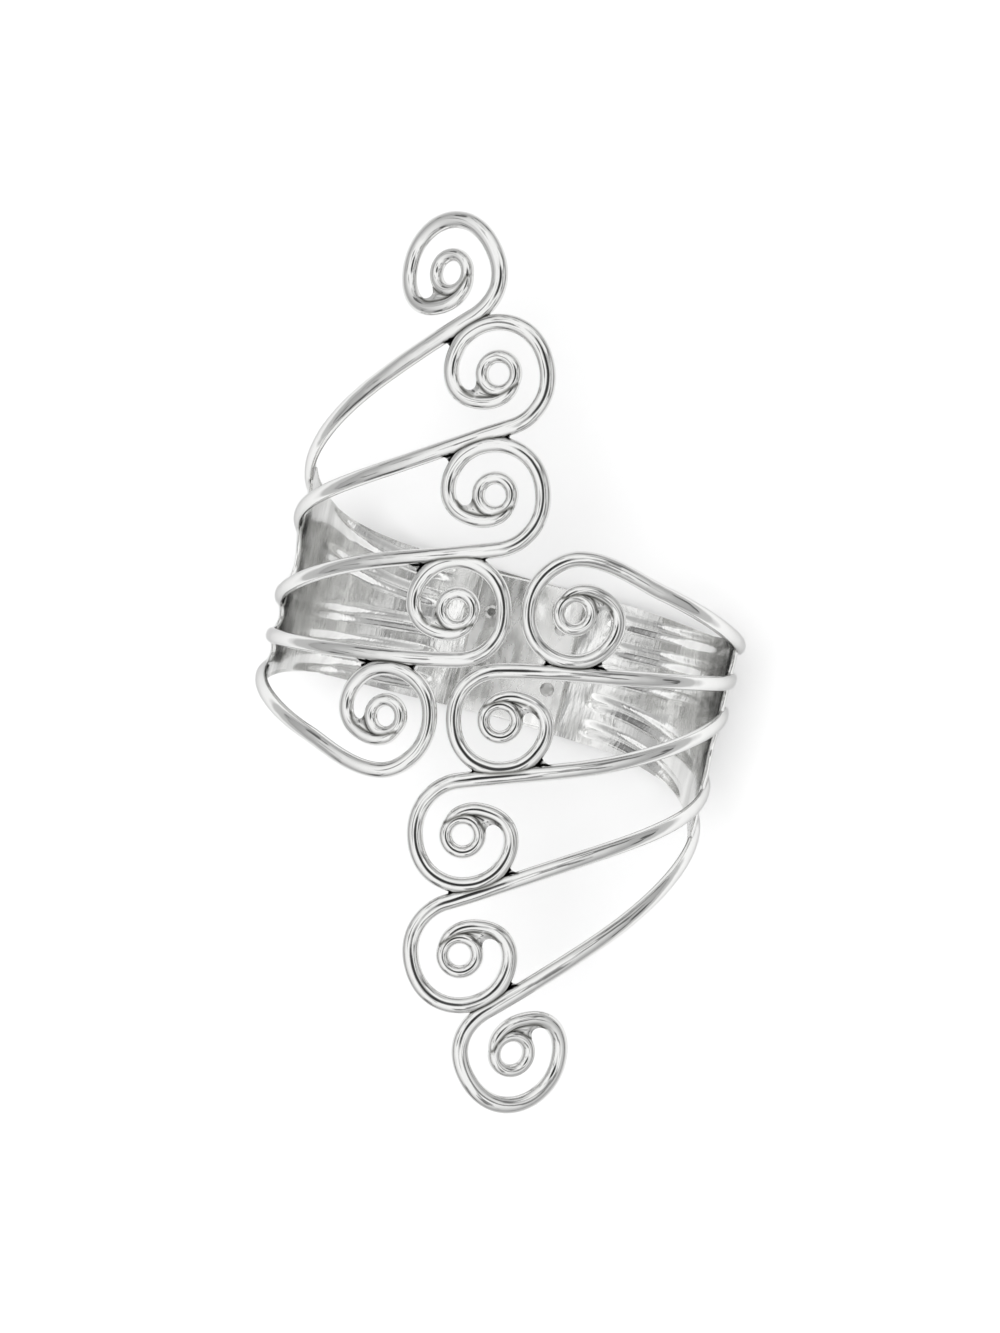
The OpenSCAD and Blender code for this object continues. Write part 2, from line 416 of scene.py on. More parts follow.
class ShapeTree(Graph):
    """Builds one geometry node tree."""

    def __init__(self, name: str) -> None:
        """Starts an empty tree.

        Args:
            name: The tree's name.
        """
        super().__init__(bpy.data.node_groups.new(name, "GeometryNodeTree"))
        self.source = self.tree.nodes.new("NodeGroupInput")
        self.sink = self.tree.nodes.new("NodeGroupOutput")

    def takes(self, name: str, kind: str) -> Socket:
        """Adds a named input of a socket type such as Float, and returns the socket to link from."""
        self.tree.interface.new_socket(name, in_out="INPUT", socket_type=f"NodeSocket{kind}")
        return self.source.outputs[name]

    def gives(self, geometry: Socket) -> None:
        """Ends the tree with that geometry."""
        self.tree.interface.new_socket("Geometry", in_out="OUTPUT", socket_type="NodeSocketGeometry")
        self.fill(self.sink, {0: geometry})

    def named(self, name: str, kind: str = "FLOAT") -> Socket:
        """Reads a named attribute."""
        node = self.add("GeometryNodeInputNamedAttribute", {"Name": name}, data_type=kind)
        return node.outputs["Attribute"]

    def store(self, geometry: Socket, name: str, value: Socket, kind: str = "FLOAT") -> Socket:
        """Stores a value at every point under a name, and returns the geometry."""
        inputs = {"Geometry": geometry, "Name": name, "Value": value}
        return self.add("GeometryNodeStoreNamedAttribute", inputs, data_type=kind).outputs[0]

    def place(self) -> Socket:
        """Each point's place."""
        return self.add("GeometryNodeInputPosition").outputs[0]

    def moved(self, geometry: Socket, place: Socket) -> Socket:
        """Geometry with its points at new places."""
        return self.add("GeometryNodeSetPosition", {"Geometry": geometry, "Position": place}).outputs[0]

    def finished(self, geometry: Socket, material: Socket) -> None:
        """Ends the tree with real, smooth faces of one material.

        Args:
            geometry: The geometry to end with.
            material: The socket that holds the material.
        """
        real = self.add("GeometryNodeRealizeInstances", {"Geometry": geometry}).outputs[0]
        smooth = self.add("GeometryNodeSetShadeSmooth", {0: real, "Shade Smooth": True}).outputs[0]
        self.gives(self.add("GeometryNodeSetMaterial", {"Geometry": smooth, "Material": material}).outputs[0])


def wrap_tree() -> bpy.types.NodeTree:
    """Makes the tree that wraps unrolled geometry on the oval.

    Its X is a distance round, its Y runs along the arm and its Z is a height over the inner face.

    Returns:
        The node group, for use inside the other trees.
    """
    tree = ShapeTree("wrap_on_oval")
    geometry = tree.takes("Geometry", "Geometry")
    rail = tree.takes("Rail", "Object")
    start = tree.takes("Rail Start", "Float")
    middle = tree.takes("Middle Height", "Float")
    line = tree.add("GeometryNodeObjectInfo", {"Object": rail}, transform_space="ORIGINAL")
    curve = tree.add("GeometryNodeMeshToCurve", {"Mesh": line.outputs["Geometry"]}).outputs[0]
    around, along, height = tree.split(tree.place())
    length = tree.math("SUBTRACT", around, start)
    sample = tree.add("GeometryNodeSampleCurve", {"Curves": curve, "Length": length}, mode="LENGTH")
    outward = tree.vector("CROSS_PRODUCT", sample.outputs["Tangent"], (0, 1, 0))
    lift = tree.math("SUBTRACT", height, middle)
    lifted = tree.add("ShaderNodeVectorMath", {0: outward, "Scale": lift}, operation="SCALE")
    spot = tree.vector("ADD", sample.outputs["Position"], lifted.outputs[0])
    tree.gives(tree.moved(geometry, tree.vector("ADD", spot, tree.join(0.0, along, 0.0))))
    return tree.tree


@dataclass
class Wrapper:
    """Wraps unrolled pieces on the oval with node trees."""

    oval: Oval
    rail: Piece = field(init=False)
    group: bpy.types.NodeTree = field(init=False)

    def __post_init__(self) -> None:
        """Makes the rail and the tree that the others share."""
        self.rail = self.oval.rail()
        self.group = wrap_tree()

    def wrapped(self, tree: ShapeTree, geometry: Socket, rail: Socket) -> Socket:
        """Adds the shared wrapping to a tree.

        Args:
            tree: The tree to add it to.
            geometry: Unrolled geometry.
            rail: The socket that holds the rail.

        Returns:
            The wrapped geometry.
        """
        inputs = {
            "Geometry": geometry,
            "Rail": rail,
            "Rail Start": self.oval.rail_start,
            "Middle Height": self.oval.mid_height,
        }
        return tree.add("GeometryNodeGroup", inputs, node_tree=self.group).outputs[0]

    @cached_property
    def strand_tree(self) -> ShapeTree:
        """The tree that sweeps a domed strand along a line and wraps it.

        The line carries a width, a foot height and a crest height at each point. Each section is one unit
        wide and high when it is swept, and is then brought to its own size.

        Returns:
            The tree.
        """
        tree = ShapeTree("domed_strand")
        line = tree.takes("Geometry", "Geometry")
        rail = tree.takes("Rail", "Object")
        sides = tree.takes("Sides", "Int")
        wall = tree.takes("Side Wall Share", "Float")
        square = tree.takes("Foot Squareness", "Float")
        flat = tree.takes("Crest Flatness", "Float")
        material = tree.takes("Material", "Material")
        curve = tree.add("GeometryNodeMeshToCurve", {"Mesh": line}).outputs[0]
        curve = tree.add("GeometryNodeSetCurveNormal", {0: curve}, mode="Z_UP").outputs[0]
        curve = tree.store(curve, "axis", tree.place(), "FLOAT_VECTOR")
        curve = tree.store(curve, "along", tree.add("GeometryNodeSplineParameter").outputs["Length"])
        ring = tree.add("GeometryNodeCurvePrimitiveCircle", {"Resolution": sides, "Radius": 1.0}).outputs[0]
        across, rise, _ = tree.split(tree.place())
        over = tree.math("GREATER_THAN", rise, 0.0)
        squared = tree.math("POWER", tree.math("ABSOLUTE", across), square)
        squared = tree.math("MULTIPLY", squared, tree.math("SIGN", across))
        half_width = tree.math("MULTIPLY", tree.mixed(squared, across, over), 0.5)
        dome = tree.math("POWER", tree.math("ABSOLUTE", rise), flat)
        top = tree.mixed(wall, 1.0, dome)
        low = tree.math("MULTIPLY", wall, tree.math("ADD", rise, 1.0))
        profile = tree.moved(ring, tree.join(half_width, tree.mixed(low, top, over), 0.0))
        profile = tree.store(profile, "across", tree.split(tree.place())[0])
        sweep = {"Curve": curve, "Profile Curve": profile, "Fill Caps": True}
        swept = tree.add("GeometryNodeCurveToMesh", sweep).outputs[0]
        axis = tree.named("axis", "FLOAT_VECTOR")
        off_x, off_y, off_z = tree.split(tree.vector("SUBTRACT", tree.place(), axis))
        up = tree.math("ABSOLUTE", off_z)
        width = tree.named("width")
        height = tree.mixed(tree.named("foot"), tree.named("crest"), up)
        # The rise, low at the strand's foot, darkens the lower sides as painted shade with some tarnish.
        swept = tree.store(swept, "rise", up)
        offset = tree.join(tree.math("MULTIPLY", off_x, width), tree.math("MULTIPLY", off_y, width), height)
        swept = tree.moved(swept, tree.vector("ADD", axis, offset))
        tree.finished(self.wrapped(tree, swept, rail), material)
        return tree

    @cached_property
    def sheet_tree(self) -> ShapeTree:
        """The tree that raises the ribs of an unrolled sheet and wraps it.

        The sheet carries at each point how far a rib lifts it, as a share of the rib's height.

        Returns:
            The tree.
        """
        tree = ShapeTree("ribbed_sheet")
        sheet = tree.takes("Geometry", "Geometry")
        rail = tree.takes("Rail", "Object")
        high = tree.takes("Rib Height", "Float")
        material = tree.takes("Material", "Material")
        lift = tree.math("MULTIPLY", tree.named("lift"), high)
        raised = tree.moved(sheet, tree.vector("ADD", tree.place(), tree.join(0.0, 0.0, lift)))
        tree.finished(self.wrapped(tree, raised, rail), material)
        return tree

    def run(self, piece: Piece, tree: ShapeTree, values: dict[str, Any]) -> Piece:
        """Runs a tree on an object and leaves a plain closed mesh with outward faces.

        Args:
            piece: The object that holds the tree's input.
            tree: The tree.
            values: The tree's inputs by name.

        Returns:
            The same object.
        """
        modifier = piece.modifiers.new(tree.tree.name, "NODES")
        modifier.node_group = tree.tree
        items = tree.tree.interface.items_tree
        sockets = {item.name: item.identifier for item in items if item.in_out == "INPUT"}
        for name, value in {"Rail": self.rail, **values}.items():
            modifier[sockets[name]] = value
        keep_result(piece)
        tidy_shell(piece)
        return piece


def keep_result(piece: Piece) -> None:
    """Turns what an object's modifiers give into its own plain mesh.

    Args:
        piece: The object.
    """
    graph = bpy.context.evaluated_depsgraph_get()
    result = piece.evaluated_get(graph)
    mesh = bpy.data.meshes.new_from_object(result, preserve_all_data_layers=True, depsgraph=graph)
    piece.modifiers.clear()
    piece.data = mesh


def tidy_shell(piece: Piece, near: float = 1e-7) -> None:
    """Merges doubled points and points the faces outwards.

    Args:
        piece: A closed mesh.
        near: Points nearer than this are one.
    """
    work = bmesh.new()
    work.from_mesh(piece.data)
    bmesh.ops.remove_doubles(work, verts=work.verts, dist=near)
    bmesh.ops.dissolve_degenerate(work, edges=work.edges, dist=near)
    bmesh.ops.recalc_face_normals(work, faces=work.faces)
    if work.calc_volume(signed=True) < 0:
        bmesh.ops.reverse_faces(work, faces=work.faces)
    work.to_mesh(piece.data)
    work.free()


def combine(name: str, shells: Sequence[Piece], operation: str, crease: float) -> Piece:
    """Fuses closed shells into the first one, or cuts the others from it.

    Args:
        name: The result's name.
        shells: The first shell and the others.
        operation: UNION or DIFFERENCE.
        crease: Edges sharper than this many radians stay crisp.

    Returns:
        One object with a plain closed mesh.
    """
    body, *others = shells
    group = bpy.data.collections.new(f"{name}_parts")
    for shell in others:
        group.objects.link(shell)
    modifier = body.modifiers.new("combine", "BOOLEAN")
    modifier.operation = operation
    modifier.operand_type = "COLLECTION"
    modifier.collection = group
    modifier.solver = "MANIFOLD"
    modifier.material_mode = "TRANSFER"
    keep_result(body)
    for shell in others:
        bpy.data.objects.remove(shell)
    bpy.data.collections.remove(group)
    attributes = body.data.attributes
    for spent in SPENT:
        if spent in attributes:
            attributes.remove(attributes[spent])
    body.name = name
    body.data.shade_smooth()
    body.data.set_sharp_from_angle(angle=crease)
    return body


def mark_creases(piece: Piece, lowest: float, reach: float = 0.28 * MM, fold: float = 0.35) -> None:
    """Stores how near each point is to an inward fold, as the mask for painted shade with some tarnish in the
    folds.

    Args:
        piece: A closed mesh.
        lowest: Height under which folds are left alone.
        reach: Distance over which the mark fades.
        fold: Least inward angle of a fold, in radians.
    """
    work = bmesh.new()
    work.from_mesh(piece.data)
    folded = set()
    for edge in work.edges:
        clear = edge.verts[0].co.z > lowest
        if clear and edge.is_manifold and edge.calc_face_angle_signed(0.0) < -fold:
            folded.update(tuple(vert.co) for vert in edge.verts)
    work.free()
    tree = KDTree(len(folded))
    for index, place in enumerate(sorted(folded)):
        tree.insert(place, index)
    tree.balance()
    near = np.array([distance for _, _, distance in (tree.find(vert.co) for vert in piece.data.vertices)])
    mark = np.exp(-((near / reach) ** 2)).astype(np.float32)
    piece.data.attributes.new("crease", "FLOAT", "POINT").data.foreach_set("value", mark)


@dataclass(frozen=True)
class Finger:
    """One finger, by lengths as shares of the cuff's quarter round, its half length or the scroll's radius.

    The eye, the strip's middle and the strand at the side have a share round and a share up. The lean and the
    slope are in degrees, the size and the width are shares of the usual ones, and the start is the scroll's
    radius where it leaves the strip.
    """

    eye_round: float
    eye_up: float
    lean: float
    size: float
    start: float
    mid_round: float
    mid_up: float
    side_up: float
    slope: float
    rib_end_up: float
    width: float


FINGERS = (
    Finger(-0.362, 0.857, 42, 1.07, 0.99, -0.567, 0.562, 0.320, 28, 0.146, 1.08),
    Finger(-0.142, 0.657, 27, 1.02, 1.08, -0.413, 0.391, 0.203, 18, 0.077, 1.04),
    Finger(-0.069, 0.387, 17, 1.00, 1.10, -0.394, 0.172, 0.013, 10, 0.006, 1.02),
    Finger(-0.097, 0.112, 13, 0.97, 1.04, -0.433, -0.046, -0.077, 2, -0.065, 1.00),
    Finger(-0.236, -0.167, 3, 0.97, 1.14, -0.492, -0.255, -0.164, -9, -0.135, 1.00),
)


@dataclass(frozen=True)
class Web:
    """A solder web between a finger and the scroll below it.

    It runs from where the two touch to its outer edge, each given by a place along the upper finger and a
    turn of the lower one's scroll in degrees.
    """

    upper: int
    place: float
    turn: float
    touch_place: float
    touch_turn: float


WEBS = (
    Web(0, 2.62, 233, 2.85, 209),
    Web(0, 3.063, 174, 3.01, 190),
    Web(1, 2.345, 236, 2.54, 215),
    Web(1, 3.017, 159, 2.93, 172),
    Web(2, 2.19, 232, 2.42, 212),
    Web(2, 2.968, 148, 2.885, 158),
    Web(3, 2.07, 224, 2.29, 200),
    Web(3, 2.74, 155, 2.60, 169),
)


@dataclass
class FingerLines:
    """The middle lines of a half's five fingers on the unrolled surface.

    A place along a finger is 0 to 1 on the rib, to 2 and 3 on the strip and to 4 round the scroll. The coil
    holds the scroll's radius as a share, at each step of its turn after the first. The step, the end and the
    turn that the strip aims at are in degrees, and the root is where the strand starts on the rib, as a share
    of the quarter round.
    """

    oval: Oval
    metal: Metal
    coil: tuple[float, ...] = (1.03, 0.975, 1.01, 1.02, 1.03, 0.965, 0.66, 0.475, 0.385, 0.345)
    coil_step: float = 45
    coil_end: float = 425
    aim_turn: float = 2.0
    root: float = 1.13

    @property
    def half_long(self) -> float:
        """Half of the cuff's length along the arm."""
        return self.metal.cuff_long / 2

    @property
    def rib_end(self) -> float:
        """Distance round where the ribs end, before the back seam."""
        return -self.oval.half + self.metal.rib_end

    def eye(self, finger: Finger) -> Points:
        """Middle of a scroll."""
        return np.array([finger.eye_round * self.oval.quarter, finger.eye_up * self.half_long])

    def coil_radius(self, finger: Finger, turn: Points) -> Points:
        """Scroll radius as a share, smooth through the short table.

        Args:
            finger: The finger.
            turn: Turns in degrees after the scroll's start.

        Returns:
            The share at each turn.
        """
        knots = np.array([finger.start, *self.coil])
        at = turn / self.coil_step
        low = np.floor(at).astype(int)
        before, first, second, after = (knots[np.clip(low + k, 0, len(self.coil))] for k in (-1, 0, 1, 2))
        return hermite(first, (second - before) / 2, second, (after - first) / 2, at - low)

    def on_scroll(self, finger: Finger, turn: Values) -> Points:
        """Places on a scroll.

        Args:
            finger: The finger.
            turn: Turns in degrees after the scroll's start.

        Returns:
            A distance round and a distance along the arm for each turn.
        """
        turn = np.asarray(turn, float)
        angle = np.radians(turn + finger.lean - 90)
        radius = self.metal.scroll_radius * finger.size * self.coil_radius(finger, turn)
        return self.eye(finger) + radius[..., None] * np.stack([np.cos(angle), np.sin(angle)], axis=-1)

    def rib_y(self, finger: Finger, around: Values) -> Values:
        """A rib's line on the band.

        Args:
            finger: The finger that the rib runs into.
            around: Distances round.

        Returns:
            The rib's distance along the arm at each.
        """
        run = -self.oval.quarter - self.rib_end
        share = np.clip((around - self.rib_end) / run, 0, 1)
        slope = np.tan(radians(finger.slope))
        back, side = finger.rib_end_up * self.half_long, finger.side_up * self.half_long
        return hermite(back, 0.0, side, slope * run, share)

    def on_strip(self, finger: Finger, place: Values) -> Points:
        """Places on a finger.

        Args:
            finger: The finger.
            place: Places along it, from 0 on the rib to 4 at the eye.

        Returns:
            A distance round and a distance along the arm for each place.
        """
        place = np.atleast_1d(np.asarray(place, float))
        quarter = self.oval.quarter
        side = np.array([-quarter, finger.side_up * self.half_long])
        middle = np.array([finger.mid_round * quarter, finger.mid_up * self.half_long])
        first = self.on_scroll(finger, 0.0)
        into = unit(self.on_scroll(finger, self.aim_turn) - first)
        side_way = np.array([cos(radians(finger.slope)), sin(radians(finger.slope))])
        back, ahead = middle - side, first - middle
        far, near = np.linalg.norm(ahead), np.linalg.norm(back)
        mid_way = unit(unit(back) * far + unit(ahead) * near)
        share = place[:, None]
        rib_s = mix(-quarter * self.root, -quarter, place)
        rib = np.stack([rib_s, self.rib_y(finger, rib_s)], axis=1)
        low = hermite(side, side_way * near, middle, mid_way * near, share - 1)
        high = hermite(middle, mid_way * far, first, into * far, share - 2)
        scroll = self.on_scroll(finger, (place - 3) * self.coil_end)
        return np.select([share <= 1, share <= 2, share <= 3], [rib, low, high], scroll)


@dataclass
class Strands:
    """The domed strands of a half's fingers and their eye rings.

    What ends in from or over is a place or a stretch along a finger. The widths and crests are shares of the
    usual ones, the foot's squareness and the crest's flatness are powers that shape a section, and the waves
    are how many of each kind there are along a finger, each of a strength within a range.
    """

    lines: FingerLines
    wrapper: Wrapper
    metal: Metal
    rib_steps: int = 10
    strip_steps: int = 56
    coil_steps: int = 150
    eye_steps: int = 48
    strand_sides: int = 24
    eye_sides: int = 20
    foot_square: float = 0.3
    crest_flat: float = 0.85
    root_over: float = 0.7
    root_width: float = 0.4
    root_crest: float = 0.93
    root_lift: float = 0.2 * MM
    narrow_from: float = 3.5
    narrow_over: float = 0.35
    end_from: float = 3.86
    end_over: float = 0.14
    end_width: float = 0.7
    end_crest: float = 0.9
    unevenness: float = 0.035 * MM
    waves: Triple = (5.0, 9.0, 16.0)
    wave_range: Range = (0.5, 1.0)
    seed: int = 11

    def places(self) -> Points:
        """Chooses where along a finger its sections stand.

        Returns:
            Places from 0 to 4.
        """
        parts = (
            np.linspace(0, 1, self.rib_steps, endpoint=False),
            np.linspace(1, 3, 2 * self.strip_steps, endpoint=False),
            np.linspace(3, 4, self.coil_steps + 1),
        )
        return np.concatenate(parts)

    def uneven(self, draw: np.random.Generator, place: Points) -> Points:
        """Small smooth unevenness along a finger, as hand finishing leaves.

        Args:
            draw: Where the random numbers come from.
            place: Places along the finger.

        Returns:
            A number of about 1 or less for each place.
        """
        total = np.zeros_like(place)
        for waves in self.waves:
            phase, part = draw.uniform(0, 2 * pi), draw.uniform(*self.wave_range)
            total += part * np.sin(waves * place * pi / 2 + phase) / waves**0.5
        return total

    def swept(
        self, name: str, line: Points, closed: bool, sides: int, sizes: dict[str, Points], finish: Material
    ) -> Piece:
        """Sweeps a domed strand along a line.

        Args:
            name: The shell's name.
            line: Distances round and along the arm.
            closed: Whether the line ends where it starts.
            sides: Corners of a section.
            sizes: The width, foot height and crest height at each point.
            finish: The material.

        Returns:
            A closed shell.
        """
        piece = line_object(name, np.column_stack([line, np.zeros(len(line))]), closed, sizes)
        values = {
            "Material": finish,
            "Sides": sides,
            "Side Wall Share": self.metal.strand_side,
            "Foot Squareness": self.foot_square,
            "Crest Flatness": self.crest_flat,
        }
        return self.wrapper.run(piece, self.wrapper.strand_tree, values)

    def strand(self, index: int, finish: Material) -> Piece:
        """Makes one finger's strand, from the rib to the eye.

        Args:
            index: The finger's number, from the longest.
            finish: The material.

        Returns:
            A closed shell.
        """
        finger, metal = FINGERS[index], self.metal
        draw = np.random.default_rng(self.seed + index)
        place = self.places()
        full = metal.strand_wide * finger.width
        coiled = mix(full, metal.eye_wide, ease((place - self.narrow_from) / self.narrow_over))
        end = ease((place - self.end_from) / self.end_over)
        root = ease(place / self.root_over)
        ended = mix(coiled, metal.eye_wide * self.end_width, end)
        width = np.where(place < 1, mix(full * self.root_width, full, root), ended)
        foot = np.full_like(place, metal.foot_step * (1 + index % 2))
        foot = np.where(place < 1, mix(metal.rib_high + self.root_lift, foot, place), foot)
        crest = metal.strand_thick - metal.foot_step * (index % 2)
        crest = crest * np.where(place < 1, mix(self.root_crest, 1.0, root), mix(1.0, self.end_crest, end))
        crest -= np.abs(self.uneven(draw, place)) * self.unevenness
        width += self.uneven(draw, place) * self.unevenness
        sizes = {"width": width, "foot": foot, "crest": crest}
        line = self.lines.on_strip(finger, place)
        return self.swept(f"strand_{index}", line, False, self.strand_sides, sizes, finish)

    def eye_ring(self, index: int, finish: Material) -> Piece:
        """Makes the ring at the middle of one scroll.

        Args:
            index: The finger's number, from the longest.
            finish: The material.

        Returns:
            A closed shell.
        """
        finger, metal = FINGERS[index], self.metal
        angle = np.linspace(0, 2 * pi, self.eye_steps, endpoint=False)
        ring = np.stack([np.cos(angle), np.sin(angle)], axis=1)
        line = self.lines.eye(finger) + metal.eye_radius * finger.size * ring
        count = np.ones(len(line))
        sizes = {
            "width": count * metal.eye_wide,
            "foot": count * metal.foot_step / 2,
            "crest": count * (metal.strand_thick - metal.foot_step / 2),
        }
        return self.swept(f"eye_{index}", line, True, self.eye_sides, sizes, finish)


@dataclass
class Joints:
    """The metal that joins strands: the solder webs between fingers and the fills at the eyes.

    The fill's start, end and round are turns of the scroll in degrees, and its gap's middle and reach are
    shares of the way from the eye ring's middle line to the strand's. Heights are shares of a strand's, and
    what ends in from is a share of the way out to the edge.
    """

    lines: FingerLines
    wrapper: Wrapper
    metal: Metal
    underside: float = 0.2
    web_steps: int = 12
    web_hollow: float = 0.3
    web_low: float = 0.48
    web_rim: float = 0.24
    web_sag: float = 0.08
    rim_from: float = 0.5
    fill_steps: int = 14
    fill_cuts: int = 20
    fill_start: float = 345
    fill_end: float = 286
    fill_round: float = 11
    gap_middle: float = 0.475
    gap_reach: float = 0.25
    fill_top: float = 0.82
    fill_sag: float = 0.1
    fill_drop: float = 0.18
    drop_from: float = 0.8
    # The fill's rise darkens it a little, as painted shade with some tarnish.
    fill_rise: float = 0.36

    def slab(self, name: str, flat: Points, top: Points, rise: Points, finish: Material) -> Piece:
        """Makes a low slab between strands.

        Args:
            name: The shell's name.
            flat: Distance round and along the arm at each place of a grid.
            top: The height of its top at each place, as a share of a strand's.
            rise: How clear each place is of painted shade and tarnish.
            finish: The material.

        Returns:
            A closed shell.
        """
        thick = self.metal.strand_thick
        piece = slab_object(name, flat, thick * top, np.full_like(top, self.underside * thick), rise)
        return self.wrapper.run(piece, self.wrapper.sheet_tree, {"Material": finish})

    def web(self, index: int, finish: Material) -> Piece:
        """Makes a solder web with a hollow outer edge, from the touch out to both strands.

        Args:
            index: The web's number.
            finish: The material.

        Returns:
            A closed shell.
        """
        row = WEBS[index]
        out = np.linspace(0, 1, self.web_steps + 1)
        strip = self.lines.on_strip(FINGERS[row.upper], mix(row.touch_place, row.place, out))
        scroll = self.lines.on_scroll(FINGERS[row.upper + 1], mix(row.touch_turn, row.turn, out))
        share = out[None, :]
        sag = 4 * share * (1 - share)
        flat = mix(strip[:, None], scroll[:, None], share[..., None])
        pull = self.web_hollow * sag * (out**2)[:, None]
        flat = mix(flat, (strip[0] + scroll[0]) / 2, pull[..., None])
        rim = ease((out - self.rim_from) / (1 - self.rim_from))[:, None] * np.ones_like(share)
        top = self.web_low + self.web_rim * rim - self.web_sag * sag
        # The rim share is also the web's rise: painted shade, with darkened solder, is darkest near the
        # touch.
        return self.slab(f"web_{index}", flat, top, rim, finish)

    def eye_fill(self, index: int, finish: Material) -> Piece:
        """Makes the metal between the end of one strand and its eye ring, where the gap ends in a round.

        Args:
            index: The finger's number, from the longest.
            finish: The material.

        Returns:
            A closed shell.
        """
        finger = FINGERS[index]
        share = np.linspace(0, 1, self.fill_cuts + 1)[None, :]
        out = np.linspace(0, 1, self.fill_steps + 1)[:, None]
        across = np.clip((share - self.gap_middle) / self.gap_reach, -1, 1)
        last = self.fill_end - self.fill_round * (1 - np.sqrt(1 - across**2))
        eye = self.lines.eye(finger)
        strand = self.lines.on_scroll(finger, mix(self.fill_start, last, out)) - eye
        ring = strand / np.linalg.norm(strand, axis=-1)[..., None] * self.metal.eye_radius * finger.size
        edge = ease((out - self.drop_from) / (1 - self.drop_from))
        top = self.fill_top - self.fill_sag * (1 - across**2) - self.fill_drop * edge
        # Painted shade with some tarnish, a little over the whole fill.
        rise = np.full_like(top, self.fill_rise)
        return self.slab(f"fill_{index}", eye + mix(ring, strand, share[..., None]), top, rise, finish)


